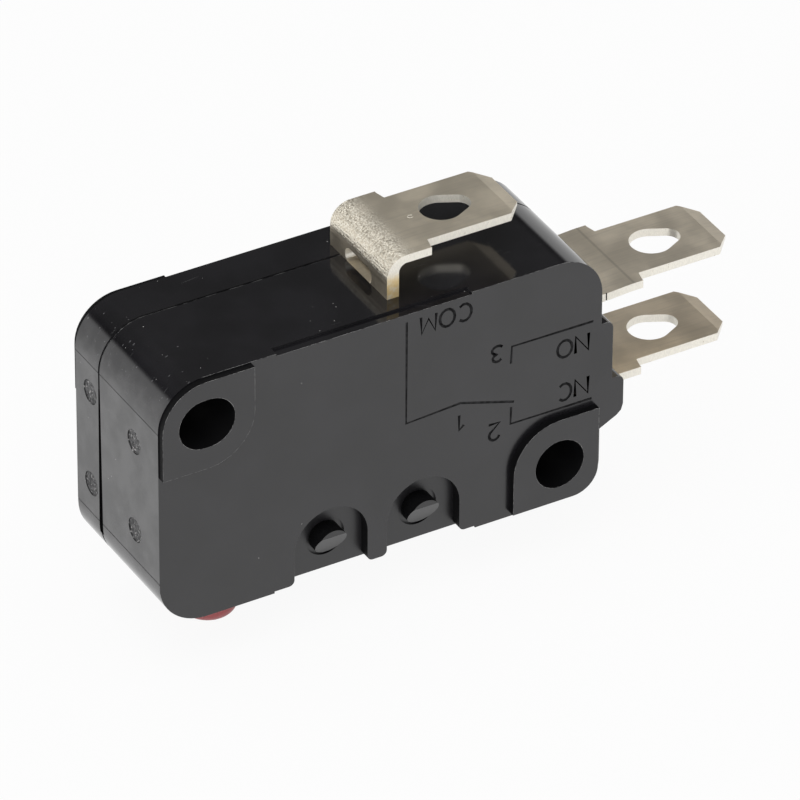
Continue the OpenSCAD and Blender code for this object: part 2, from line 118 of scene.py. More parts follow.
# %% [markdown]
# ## Softened edges
#
# No moulded or stamped edge is perfectly sharp: a narrow rounding catches the light as a fine bright
# line. A Bevel modifier could do it live, but a merged copy with a bmesh bevel keeps control over which
# edges are eased, and lets the new faces carry a value, so that a finish can show wear and a painted
# highlight just along the edges. The rims of the moulding get a wider rounding than its small steps, and
# only its crest is worn and painted lighter as a highlight. The bow spring spreads when it is flattened, so
# it is drawn in a little to stay clear of the blade's window.

# %% Eased copies of the solids
SKIN, WALL, EJECTOR, SIGN = 0, 1, 2, 3
WEAR_AND_HIGHLIGHT = "edge_wear_and_highlight"
CREST, FLANK, EASED = 1.0, 0.6, 0.5
PAD_Y = 5.15
PIN_X = -8.4
RIM_WIDTH = 0.12
SEAM_WIDTH = 0.02
LEAST_TURN = math.radians(28)
LEVER_FROM, LEVER_TO = -8.5, 6.6
LEVER_RIM_TOP, LEVER_WALL_TOP = -3.0, -3.3
PAD_STEP_X, PAD_STEP_Z = -8.0, 2.0
TOP_SEAM_FROM = 6.0
CREST_FROM, CREST_TO, LOW_CREST_TO = 0.4, 0.9, 1.0
LEAST_LEAN = 0.05
SAME = 0.001
BOW_DRAWN_IN = 0.94
EASES = {"case": 0.05, "cover": 0.05, "plunger": 0.03, "com_terminal": 0.05, "no_terminal": 0.05,
         "nc_terminal": 0.05, "no_contact": 0.22, "nc_contact": 0.22, "moving_contact": 0.22,
         "contact_blade": 0.03, "bow_spring": 0.03}


def open_copy(node):
    """The node's triangles merged into flat faces, in millimetres."""
    bm = bmesh.new()
    bm.from_mesh(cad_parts[node].data)
    to_ruler(bm)
    bmesh.ops.remove_doubles(bm, verts=bm.verts, dist=0.0005)
    bmesh.ops.dissolve_limit(bm, angle_limit=math.radians(0.4), verts=bm.verts, edges=bm.edges)
    return bm


def on_rim(edge):
    """The edges round the flats and pads of the moulding, clear of the narrow step by the upper pad."""
    low, high = (v.co for v in edge.verts)
    level = abs(low.y)
    flat = abs(level - abs(high.y)) < SAME and min(abs(level - BACK_Y), abs(level - PAD_Y)) < SAME
    by_pad = abs(level - BACK_Y) < SAME and low.x < PAD_STEP_X and low.z > PAD_STEP_Z
    return flat and edge.is_convex and not by_pad


def on_top_seam(edge):
    """The joint of the two halves along the top, which is closed more tightly than on the end."""
    return all(abs(v.co.y - SEAM_Y) < SAME and v.co.z > TOP_SEAM_FROM for v in edge.verts)


def by_lever_seats(spot, top):
    """In the row of the lever pockets, below the height given."""
    return LEVER_FROM < spot.x < LEVER_TO and spot.z < top


def is_worn_and_highlit(spot, look, rim):
    """Whether a rounding is rubbed and has a painted highlight: on a rim only its crest, not by the lever
    pockets.
    """
    if not rim:
        return True
    on_pad = abs(spot.y) > PAD_Y - RIM_WIDTH - 0.01
    low_side = on_pad and (look.x > LEAST_LEAN or look.z < -LEAST_LEAN)
    crest_to = LOW_CREST_TO if low_side else CREST_TO
    return CREST_FROM < abs(look.y) < crest_to and (on_pad or not by_lever_seats(spot, LEVER_RIM_TOP))


def ease(bm, width, chosen=None):
    """Rounds the chosen sharp edges, and marks each new face as a flank or a crest for wear and a painted
    highlight.
    """
    wear_and_highlight = bm.faces.layers.float.get(WEAR_AND_HIGHLIGHT) or bm.faces.layers.float.new(WEAR_AND_HIGHLIGHT)
    sharp = []
    for edge in bm.edges:
        fresh = edge.is_manifold and all(f[wear_and_highlight] < EASED for f in edge.link_faces)
        if fresh and edge.calc_face_angle() > LEAST_TURN and (chosen is None or chosen(edge)):
            sharp.append(edge)
    rounding = bmesh.ops.bevel(bm, geom=sharp, offset=width, offset_type="OFFSET",
                               segments=3 if chosen else 2, profile=0.5, affect="EDGES",
                               material=-1, clamp_overlap=True)
    bm.normal_update()
    # A crest takes the finish's rubbed colour, which is partly wear and partly a painted highlight.
    for face in rounding["faces"]:
        worn_and_highlit = is_worn_and_highlit(face.calc_center_median(), face.normal, chosen is not None)
        face[wear_and_highlight] = CREST if worn_and_highlit else FLANK
    return len(sharp)


copies = {}
for node, width in EASES.items():
    copies[node] = open_copy(node)
    rims = 0
    if node in ("case", "cover"):
        rims = ease(copies[node], RIM_WIDTH, on_rim) + ease(copies[node], SEAM_WIDTH, on_top_seam)
    print(node, "edges eased:", rims + ease(copies[node], width))

bow_copy = copies["bow_spring"]
about_pin = Matrix.Translation((-PIN_X, 0, 0))
bmesh.ops.scale(bow_copy, vec=(BOW_DRAWN_IN, 1, 1), space=about_pin, verts=bow_copy.verts)

# %% [markdown]
# ## Cutting fine marks
#
# The moulding carries a small circuit sign, the names of its three contacts, round ejector marks and thin
# tool lines. They could be painted with a texture, but real ones are cut into the steel mould, so here
# they are cut from the mesh: small cutters are gathered in one bmesh and taken away by a Boolean.


# %% Cutters and carving
def round_bar(cutter, middle, direction, radius, length, segments):
    """A round cutter about a middle point."""
    turn = Vector(direction).to_track_quat("Z", "Y").to_matrix().to_4x4()
    bmesh.ops.create_cone(cutter, cap_ends=True, segments=segments, radius1=radius, radius2=radius,
                          depth=length, matrix=Matrix.Translation(middle) @ turn)


def groove(cutter, start, end, outward, width, depth):
    """A square cutter from start to end, half of it outside the surface that looks outward."""
    start, end, outward = Vector(start), Vector(end), Vector(outward)
    along = end - start
    across = outward.cross(along).normalized()
    turn = Matrix((along.normalized(), across, outward)).transposed().to_4x4()
    shape = Matrix.Diagonal((along.length, width, 2 * depth, 1))
    bmesh.ops.create_cube(cutter, size=1, matrix=Matrix.Translation((start + end) / 2) @ turn @ shape)


def carve(bm, cutter, kind, crossing=False):
    """Takes the cutter away from the copy; the new faces get the kind of finish given."""
    for face in cutter.faces:
        face.material_index = kind
    workpieces = []
    for name, source in (("work", bm), ("tool", cutter)):
        mesh = bpy.data.meshes.new(name)
        source.to_mesh(mesh)
        source.free()
        for _ in (SKIN, WALL, EJECTOR, SIGN):
            mesh.materials.append(None)
        workpieces.append(bpy.data.objects.new(name, mesh))
        bpy.context.scene.collection.objects.link(workpieces[-1])
    work, tool = workpieces
    cut = work.modifiers.new("cut", "BOOLEAN")
    cut.operation = "DIFFERENCE"
    cut.solver = "EXACT"
    cut.use_self = crossing
    cut.material_mode = "INDEX"
    cut.object = tool
    now = bpy.context.evaluated_depsgraph_get()
    now.update()
    carved = bpy.data.meshes.new_from_object(work.evaluated_get(now), preserve_all_data_layers=True,
                                             depsgraph=now)
    result = bmesh.new()
    result.from_mesh(carved)
    bpy.data.meshes.remove(carved)
    for thing in workpieces:
        mesh = thing.data
        bpy.data.objects.remove(thing)
        bpy.data.meshes.remove(mesh)
    return result


print("cutters ready")

# %% [markdown]
# ## Circuit sign and contact names
#
# The sign shows a changeover switch: a common arm that rests on one contact and leaves the other. Its
# words are upside down on this face, because the switch is read with the pin at the top. Engravers cut
# such letters with one round tool, so each letter is a line of points that the tool follows.


# %% Letters as tool paths
def bow(x, z, rx, rz, start, end, steps):
    """Points along an ellipse between two angles, in units of a letter's height."""
    path = []
    for k in range(steps + 1):
        angle = math.radians(start + (end - start) * k / steps)
        path.append((x + rx * math.cos(angle), z + rz * math.sin(angle)))
    return path


LETTERS = {
    "C": (0.76, [bow(0.42, 0.5, 0.40, 0.5, 48, 312, 9)]),
    "O": (0.84, [bow(0.42, 0.5, 0.42, 0.5, 0, 360, 14)]),
    "M": (0.86, [[(0, 0), (0.05, 1), (0.43, 0.2), (0.81, 1), (0.86, 0)]]),
    "N": (0.74, [[(0, 0), (0, 1), (0.74, 0), (0.74, 1)]]),
    "1": (0.36, [[(0, 0.72), (0.3, 1), (0.3, 0)]]),
    "2": (0.64, [bow(0.31, 0.69, 0.30, 0.31, 165, -38, 7) + [(0, 0), (0.64, 0)]]),
    "3": (0.62, [bow(0.28, 0.76, 0.28, 0.24, 150, -85, 6) + bow(0.27, 0.26, 0.34, 0.26, 85, -150, 7)]),
}
LETTER_GAP = 0.2
STROKE = 0.2
LINE = 0.24
LINE_LIFT = 0.075
SIGN_LINES = ([(1.49, 7.3), (1.49, 0.6), (4.92, 0.81), (8.34, -0.25)],
              [(8.16, -0.56), (8.13, -1.68), (13.34, -1.72)],
              [(8.11, 2.36), (8.16, 3.48), (13.35, 3.44)])
SIGN_WORDS = (("COM", 3.98, 6.76, 1.12), ("NO", 12.07, 2.2, 1.12), ("NC", 12.13, -0.7, 1.12),
              ("3", 7.2, 3.3, 1.05), ("1", 4.97, -0.5, 1.0), ("2", 7.09, -1.87, 1.1))


def tool_path(cutter, points, width, lift=0.0):
    """Follows points (x, z) on the front face, lifted off it or not, with a round cutter."""
    closed = (Vector(points[0]) - Vector(points[-1])).length < 0.01
    if closed:
        points = points[:-1]
    curve = bpy.data.curves.new("path", "CURVE")
    curve.dimensions = "3D"
    curve.bevel_depth = width / 2
    curve.bevel_resolution = 1
    curve.use_fill_caps = not closed
    line = curve.splines.new("POLY")
    line.points.add(len(points) - 1)
    for point, (x, z) in zip(line.points, points):
        point.co = (x, FRONT_Y - lift, z, 1)
    line.use_cyclic_u = closed
    holder = bpy.data.objects.new("path", curve)
    tube = bpy.data.meshes.new_from_object(holder)
    cutter.from_mesh(tube)
    bpy.data.objects.remove(holder)
    bpy.data.curves.remove(curve)
    bpy.data.meshes.remove(tube)


def close_tubes(cutter):
    """Joins the ends of the tubes and turns their faces outwards."""
    bmesh.ops.remove_doubles(cutter, verts=cutter.verts, dist=0.0001)
    bmesh.ops.recalc_face_normals(cutter, faces=cutter.faces)


def label(cutter, word, x, z, height):
    """A word about its middle (x, z), turned upside down."""
    width = sum(LETTERS[c][0] for c in word) + LETTER_GAP * (len(word) - 1)
    along = -width / 2
    for letter in word:
        advance, paths = LETTERS[letter]
        for path in paths:
            tool_path(cutter, [(x - height * (along + u), z - height * (v - 0.5)) for u, v in path], STROKE)
        along += advance + LETTER_GAP


sign = bmesh.new()
for path in SIGN_LINES:
    tool_path(sign, path, LINE, LINE_LIFT)
for word, x, z, height in SIGN_WORDS:
    label(sign, word, x, z, height)
close_tubes(sign)
print("sign cutters:", len(sign.faces), "faces")
copies["case"] = carve(copies["case"], sign, SIGN, crossing=True)
print("case after the sign:", len(copies["case"].faces), "faces")

# %% [markdown]
# ## Ejector marks and tool lines
#
# The short end of the body shows four round marks, where pins pushed the moulding out of its mould, and two
# hairlines, where pieces of the mould met at the start of the rounded corners. The joint between the two
# halves gapes a little towards the pin side. All of these are shallow cuts in the end face.

# %% Ejector marks and tool lines
EJECTOR_R = 0.74
EJECTOR_DEEP = 0.045
EJECTOR_SIDES = 28
CASE_MARKS = [(-1.98, 2.99), (-1.95, -2.89)]
COVER_MARKS = [(3.05, 3.23), (3.07, -2.89)]
HAIRLINES = (5.08, -4.85)
HAIRLINE_WIDTH = 0.045
HAIRLINE_DEEP = 0.03
OVERCUT = 0.1
GAPE_TOP, GAPE_FOOT = 4.0, -5.6
GAPE_WIDTH = 0.42
GAPE_DEEP = 0.15
GAPE_TAPER = 0.45


def end_marks(spots):
    cutter = bmesh.new()
    for y, z in spots:
        round_bar(cutter, (END_X, y, z), (1, 0, 0), EJECTOR_R, 2 * EJECTOR_DEEP, EJECTOR_SIDES)
    return cutter


def hairlines(y_from, y_to):
    cutter = bmesh.new()
    for z in HAIRLINES:
        groove(cutter, (END_X, y_from, z), (END_X, y_to, z), (-1, 0, 0), HAIRLINE_WIDTH, HAIRLINE_DEEP)
    return cutter


for node, marks, y_from, y_to in (("case", CASE_MARKS, FRONT_Y, SEAM_Y),
                                  ("cover", COVER_MARKS, SEAM_Y, BACK_Y)):
    copies[node] = carve(copies[node], end_marks(marks), EJECTOR)
    copies[node] = carve(copies[node], hairlines(y_from - OVERCUT, y_to + OVERCUT), WALL)
    gape = bmesh.new()
    groove(gape, (END_X, SEAM_Y, GAPE_TOP), (END_X, SEAM_Y, GAPE_FOOT), (-1, 0, 0), GAPE_WIDTH, GAPE_DEEP)
    upper = [v for v in gape.verts if v.co.z > 0]
    bmesh.ops.scale(gape, vec=(1, GAPE_TAPER, 1), verts=upper, space=Matrix.Translation((0, -SEAM_Y, 0)))
    copies[node] = carve(copies[node], gape, WALL)
print("case", len(copies["case"].faces), "cover", len(copies["cover"].faces), "faces")

# %% [markdown]
# ## Prick mark and notch on the strips
#
# The common tab has a small open ring pressed into its blade, and the upper end tab a nick in its sheared
# edge close to the body. Both are cut like the marks of the moulding; the nick takes the strips' third
# finish, the dull black of the moulding's walls, as painted shade in the notch. The ring is drawn on the
# front face's plane, turned to look up and set down on the blade.

# %% Prick mark and notch
PRICK_SPOT = (4.41, 0.05, 10.5)
PRICK_STROKE = 0.05
NICK_FOOT = (15.12, -3.15, 3.0)
NICK_TOP = (15.12, -3.15, 4.0)
NICK_WIDTH = 0.08
NICK_DEEP = 0.06
prick = bmesh.new()
tool_path(prick, bow(0, 0, 0.17, 0.13, 30, 320, 12), PRICK_STROKE)
close_tubes(prick)
bmesh.ops.translate(prick, vec=(0, -FRONT_Y, 0), verts=prick.verts)
lie_down = Matrix.Rotation(math.radians(-90), 3, "X")
bmesh.ops.rotate(prick, cent=(0, 0, 0), matrix=lie_down, verts=prick.verts)
bmesh.ops.translate(prick, vec=PRICK_SPOT, verts=prick.verts)
copies["com_terminal"] = carve(copies["com_terminal"], prick, WALL)
nick = bmesh.new()
groove(nick, NICK_FOOT, NICK_TOP, (0, -1, 0), NICK_WIDTH, NICK_DEEP)
# The nick takes the strip's third finish, the dull black, as painted shade in the notch.
copies["no_terminal"] = carve(copies["no_terminal"], nick, EJECTOR)
print("strips marked")

# %% [markdown]
# ## Which faces get which finish
#
# A mould is polished where its faces show, but the steep little walls round the pads and pockets stay as
# they were eroded, so they look dead black. The same black is laid on the rounding at the foot of each pad
# as a painted shade line. On the strips, the sheared edges are brighter than the rolled faces. Both can be
# told apart by where a face lies and where it looks.

# %% Sorting faces
HOLE_X, HOLE_Z = 11.1, -5.15
HOLE_REACH = 1.62
SLOT_HALF = 0.17
STEEP = 0.5
POCKET_FROM = 3.95
FOOT_HIGH = 0.06
EDGE_LOOK, WALL_LOOK = 0.75, 0.35
BLADE_FROM = 4.5


def in_bore(spot, normal):
    """The wall of a mounting hole. The slotted one lies opposite the round one about the middle."""
    by_round = math.hypot(spot.x - HOLE_X, spot.z - HOLE_Z) < HOLE_REACH
    by_slot = math.hypot(max(abs(spot.x + HOLE_X) - SLOT_HALF, 0), spot.z + HOLE_Z) < HOLE_REACH
    return (by_round or by_slot) and abs(normal.y) < STEEP


def sort_moulding(bm):
    """Gives the steep walls and holes of a moulding their finish, and the pads' foot roundings a painted
    shade line.
    """
    wear_and_highlight = bm.faces.layers.float.get(WEAR_AND_HIGHLIGHT)
    count = 0
    for face in bm.faces:
        if face.material_index != SKIN:
            continue
        middle = face.calc_center_median()
        depth = abs(middle.y)
        steep = depth > POCKET_FROM and abs(face.normal.y) < STEEP
        on_outline = depth < BACK_Y and not by_lever_seats(middle, LEVER_WALL_TOP)
        # The rounding at the foot of each pad takes the dead black wall finish as a painted shade line in
        # the crease.
        foot_shade = face[wear_and_highlight] > EASED and BACK_Y < depth < BACK_Y + FOOT_HIGH
        if (steep and not on_outline) or foot_shade or in_bore(middle, face.normal):
            face.material_index = WALL
            count += 1
    return count


def sort_strip(bm):
    """Gives the sheared edges and hole walls of a strip their finish."""
    count = 0
    for face in bm.faces:
        middle = face.calc_center_median()
        blade_wall = abs(face.normal.z) < WALL_LOOK and middle.x > BLADE_FROM
        if face.material_index == SKIN and (abs(face.normal.y) > EDGE_LOOK or blade_wall):
            face.material_index = WALL
            count += 1
    return count


for node in ("case", "cover"):
    print(node, "eroded walls:", sort_moulding(copies[node]))
for node in ("com_terminal", "no_terminal", "nc_terminal"):
    print(node, "sheared faces:", sort_strip(copies[node]))

# %% [markdown]
# ## From copies to pieces
#
# Each copy goes back to the frame as a piece that stands for its node. Plain smooth shading would bend the
# light across the big flats, and a Weighted Normal modifier still leaves odd corners on faces with many
# sides. So the normals are set here: a flat keeps its own, neighbours on a curve share one, and a rounding
# turns from the one side to the other.

# %% Pieces
CURVE_TURN, CRISP_TURN = 20, 3
ROUNDING_DOT = 0.4
TIPS = {"com_terminal": 9.5, "no_terminal": 23.0, "nc_terminal": 23.0}
NO_TIP = 99
HOMES = {
    "case": ("housing", "case_plastic"), "cover": ("housing", "cover_plastic"),
    "plunger": ("plunger", "plunger_plastic"), "com_terminal": ("housing", "terminal_metal"),
    "no_terminal": ("housing", "terminal_metal"), "nc_terminal": ("housing", "terminal_metal"),
    "no_contact": ("housing", "contact_metal"), "nc_contact": ("housing", "contact_metal"),
    "moving_contact": ("contact_arm", "contact_metal"), "contact_blade": ("contact_arm", "spring_metal"),
    "bow_spring": ("housing", "spring_metal"),
}


def settled_normals(bm, crisp_from):
    """One normal for every corner of every face; beyond crisp_from along X no two flats are blended."""
    wear_and_highlight = bm.faces.layers.float.get(WEAR_AND_HIGHLIGHT)
    normals = []
    for face in bm.faces:
        turn = CRISP_TURN if face.calc_center_median().x > crisp_from else CURVE_TURN
        eased = face[wear_and_highlight] >= EASED
        least = ROUNDING_DOT if eased else math.cos(math.radians(turn))
        for vert in face.verts:
            near = [f for f in vert.link_faces if f[wear_and_highlight] < EASED and f.normal.dot(face.normal) > least]
            if eased and not near:
                near = vert.link_faces
            total = Vector()
            for f in near:
                total += f.normal * f.calc_area()
            normals.append((total if total.length > 0 else face.normal).normalized())
    return normals


def make_piece(node, body):
    """Moves a finished copy into the frame as the piece that stands for its node."""
    bm = copies[node]
    bmesh.ops.remove_doubles(bm, verts=bm.verts, dist=0.0002)
    bm.normal_update()
    normals = settled_normals(bm, TIPS.get(node, NO_TIP))
    to_frame(bm)
    mesh = bpy.data.meshes.new(node + "_dressed")
    bm.to_mesh(mesh)
    bm.free()
    for face in mesh.polygons:
        face.use_smooth = True
    mesh.normals_split_custom_set(normals)
    piece = bpy.data.objects.new(node + "_dressed", mesh)
    bpy.context.scene.collection.objects.link(piece)
    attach(piece, body)
    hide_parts(node)
    return piece


pieces = {node: make_piece(node, body) for node, (body, slot) in HOMES.items()}
print("pieces:", len(pieces), "triangles:", sum(len(p.data.loop_triangles) for p in pieces.values()))

# %% [markdown]
# ## Node helpers
#
# Each finish is a small tree of shader nodes on Object coordinates, measured in millimetres. A helper makes
# a node and fills its sockets: a plain value is set on the socket, and an output is linked to it. Effects
# that more than one finish uses are node groups.

# %% Node helpers
MIX_SOCKETS = (0, 6, 7)
MIX_COLOUR = 2


def feed(tree, target, value):
    """Links an output to a socket, or sets a plain value on it."""
    if isinstance(value, bpy.types.NodeSocket):
        tree.links.new(value, target)
    else:
        target.default_value = value


def put(tree, kind, **sockets):
    """Adds a node and fills its inputs, named with _ for a space."""
    made = tree.nodes.new(kind)
    for key, value in sockets.items():
        feed(tree, made.inputs[key.replace("_", " ")], value)
    return made


def sums(tree, operation, *values):
    """One step of arithmetic."""
    made = tree.nodes.new("ShaderNodeMath")
    made.operation = operation
    for target, value in zip(made.inputs, values):
        feed(tree, target, value)
    return made.outputs[0]


def times(tree, a, b):
    return sums(tree, "MULTIPLY", a, b)


def blend_colour(tree, mask, a, b):
    """Colour a where the mask is 0, b where it is 1; the Mix node has these sockets among others."""
    made = tree.nodes.new("ShaderNodeMix")
    made.data_type = "RGBA"
    for place, value in zip(MIX_SOCKETS, (mask, a, b)):
        feed(tree, made.inputs[place], value)
    return made.outputs[MIX_COLOUR]


def fade(tree, value, low, high, out_low=0.0, out_high=1.0):
    """A soft step from out_low to out_high while the value goes from low to high."""
    made = put(tree, "ShaderNodeMapRange", Value=value, From_Min=low, From_Max=high,
               To_Min=out_low, To_Max=out_high)
    made.interpolation_type = "SMOOTHSTEP"
    return made.outputs[0]


def stretch(tree, vector, scale, turn=(0, 0, 0)):
    return put(tree, "ShaderNodeMapping", Vector=vector, Scale=scale, Rotation=turn).outputs[0]


def noise(tree, vector, scale, detail):
    return put(tree, "ShaderNodeTexNoise", Vector=vector, Scale=scale, Detail=detail).outputs[0]


def blank_material(name):
    """An empty Principled material and its Object coordinates in millimetres."""
    material = bpy.data.materials.new(name)
    material.use_nodes = True
    tree = material.node_tree
    tree.nodes.clear()
    shader = tree.nodes.new("ShaderNodeBsdfPrincipled")
    output = tree.nodes.new("ShaderNodeOutputMaterial")
    tree.links.new(shader.outputs[0], output.inputs[0])
    place = tree.nodes.new("ShaderNodeTexCoord")
    here = stretch(tree, place.outputs["Object"], (1000, 1000, 1000))
    return material, tree, shader, here


def relief(tree, shader, height, strength, distance):
    """Feeds the shader's normal with a bump."""
    bump = put(tree, "ShaderNodeBump", Height=height, Strength=strength, Distance=distance)
    feed(tree, shader.inputs["Normal"], bump.outputs[0])


def shade(tint, share):
    """A tint made lighter or darker, as the four values of a colour socket."""
    return tuple(share * v for v in tint) + (1,)


def new_group(name, inputs, outputs):
    """A node group with the named inputs and float outputs."""
    tree = bpy.data.node_groups.new(name, "ShaderNodeTree")
    for label_text, kind in inputs:
        tree.interface.new_socket(name=label_text, in_out="INPUT", socket_type=kind)
    for label_text in outputs:
        tree.interface.new_socket(name=label_text, in_out="OUTPUT", socket_type="NodeSocketFloat")
    return tree, tree.nodes.new("NodeGroupInput").outputs, tree.nodes.new("NodeGroupOutput").inputs


def use_group(tree, group, **sockets):
    made = tree.nodes.new("ShaderNodeGroup")
    made.node_tree = group
    for key, value in sockets.items():
        feed(tree, made.inputs[key], value)
    return made.outputs


print("node helpers ready")

# %% [markdown]
# ## Shared effects
#
# Dust is a cloud of random points: a Voronoi texture gives every cell a random colour, and a few cells
# show a small disc. The same discs on stretched coordinates are fine straight scratches. Grain mixes
# a slow drift, as plastic flows in the mould, with the fine texture of the steel.

# %% Dust, scratches and grain
VECTOR, VALUE = "NodeSocketVector", "NodeSocketFloat"
dust_group, take, give = new_group("dust", [("Vector", VECTOR), ("Scale", VALUE), ("Share", VALUE),
                                            ("Radius", VALUE)], ["Mask"])
cells = put(dust_group, "ShaderNodeTexVoronoi", Vector=take["Vector"], Scale=take["Scale"])
chance = put(dust_group, "ShaderNodeSeparateColor", Color=cells.outputs["Color"])
present = sums(dust_group, "LESS_THAN", chance.outputs[0], take["Share"])
size = times(dust_group, take["Radius"], chance.outputs[1])
inside = sums(dust_group, "LESS_THAN", cells.outputs["Distance"], size)
feed(dust_group, give["Mask"], times(dust_group, present, inside))


def scratches(tree, here, sets):
    """Hairline marks in the plane of the table. Each set has its direction and its share of the cells."""
    marks = 0.0
    for turn, share in sets:
        drawn = stretch(tree, stretch(tree, here, (1, 1, 1), (0, 0, turn)), (0.45, 14.0, 2.0))
        more = use_group(tree, dust_group, Vector=drawn, Scale=1.0, Share=share, Radius=0.3)["Mask"]
        marks = sums(tree, "MAXIMUM", more, marks)
    return marks


grain_group, take, give = new_group("grain", [("Vector", VECTOR)], ["Drift", "Fine"])
feed(grain_group, give["Drift"], fade(grain_group, noise(grain_group, take["Vector"], 0.3, 3.0), 0.3, 0.7))
feed(grain_group, give["Fine"], noise(grain_group, take["Vector"], 11.0, 3.0))
print("groups:", [g.name for g in bpy.data.node_groups])

# %% [markdown]
# ## Moulded black
#
# The two halves are a hard black moulding with a skin that is almost mirror smooth. Its colour is nearly
# black, and what the eye sees is reflection: the pale table in the upright faces, a dark room in the top.
# Dust sticks to it, its edges are rubbed, and the top carries a few scratches. The lighter crests of the
# rims are partly wear and partly a painted highlight, as is the lighter line along the joint on top, and
# the end faces are painted lighter in cloudy patches as painted light.

# %% Moulded black
# The rubbed crests are painted this light colour: partly wear, partly a painted highlight.
RUBBED_AND_HIGHLIT = (0.42, 0.415, 0.41, 1)
# Painted light: the end faces are painted this lighter grey in cloudy patches.
END_PAINTED_LIGHT = (0.05, 0.049, 0.051, 1)
SCUFFED = (0.16, 0.16, 0.165, 1)
# Painted along the joint on top: partly scuff, partly a painted highlight.
JOINT_SCUFF_AND_HIGHLIGHT = (0.16, 0.16, 0.16, 1)
SCRATCHED = (0.12, 0.12, 0.12, 1)
DUST = (0.42, 0.41, 0.40, 1)
WALL_DARK = (0.003, 0.003, 0.0035, 1)
WALL_LIGHT = (0.008, 0.008, 0.0085, 1)
WALL_DUST = (0.4, 0.39, 0.38, 1)
LUMP_DARK = (0.02, 0.02, 0.021, 1)
LUMP_LIGHT = (0.06, 0.06, 0.062, 1)
# Pale flecks of the ejector marks: partly stress whitening, partly painted glints.
STRESS_WHITE_AND_GLINT = (0.38, 0.37, 0.37, 1)
SIGN_DARK = (0.002, 0.002, 0.0025, 1)
SIGN_LIGHT = (0.018, 0.0175, 0.019, 1)
SKIN_TINTS = {"case": (0.0085, 0.0081, 0.0096), "cover": (0.0082, 0.0078, 0.0092)}
SKIN_SCRATCHES = ((0.04, 0.02), (-0.12, 0.015), (0.6, 0.006))
CORNER_FROM, CORNER_FULL = -21.5, -24.2
HARD_PLASTIC_IOR = 1.64


def rubbed_and_highlit_edges(tree, here):
    """Worn spots along the eased edges, from the bevel's value; on the moulding's rims also a painted
    highlight.
    """
    worn_and_highlit = tree.nodes.new("ShaderNodeAttribute")
    worn_and_highlit.attribute_name = WEAR_AND_HIGHLIGHT
    crest = fade(tree, worn_and_highlit.outputs["Fac"], 0.7, 0.9)
    patches = fade(tree, noise(tree, here, 0.35, 2.0), 0.4, 0.6, 0.55, 1.0)
    chips = fade(tree, noise(tree, here, 5.0, 3.0), 0.38, 0.54)
    return times(tree, times(tree, crest, patches), chips)


def facing_up(tree, least, full):
    """How much a face looks up, where dust settles and things rub."""
    look = tree.nodes.new("ShaderNodeTexCoord")
    up = put(tree, "ShaderNodeSeparateXYZ", Vector=look.outputs["Normal"])
    return fade(tree, up.outputs[2], least, full)


def side_masks(tree, here):
    """The duller faces along Y, the pocket floors among them, the end faces and the ramps of the pegs."""
    look = tree.nodes.new("ShaderNodeTexCoord")
    side = put(tree, "ShaderNodeSeparateXYZ", Vector=look.outputs["Normal"]).outputs
    place = put(tree, "ShaderNodeSeparateXYZ", Vector=here).outputs[1]
    sideways = sums(tree, "ABSOLUTE", side[1])
    flat = fade(tree, sideways, 0.9, 0.97)
    pocket = times(tree, flat, fade(tree, sums(tree, "ABSOLUTE", place), 4.5, 4.4))
    ramp = times(tree, fade(tree, side[2], -0.3, -0.5), fade(tree, sideways, 0.3, 0.5))
    return flat, pocket, fade(tree, sums(tree, "ABSOLUTE", side[0]), 0.7, 0.95), ramp


def top_scuffs_and_joint_highlight(tree, here, upward):
    """Where the top is marked: a broken line along the joint, scuff with a painted highlight, and the
    corner over the pin.
    """
    place = put(tree, "ShaderNodeSeparateXYZ", Vector=here).outputs
    off = sums(tree, "ABSOLUTE", sums(tree, "SUBTRACT", place[1], SEAM_Y))
    broken = fade(tree, noise(tree, stretch(tree, here, (1.2, 6.0, 6.0)), 1.0, 3.0), 0.42, 0.6)
    # The broken lighter line along the joint is partly scuff and partly a painted highlight.
    joint = times(tree, fade(tree, off, 0.1, 0.03), broken)
    corner = fade(tree, place[0], CORNER_FROM, CORNER_FULL)
    return times(tree, joint, upward), times(tree, corner, upward)


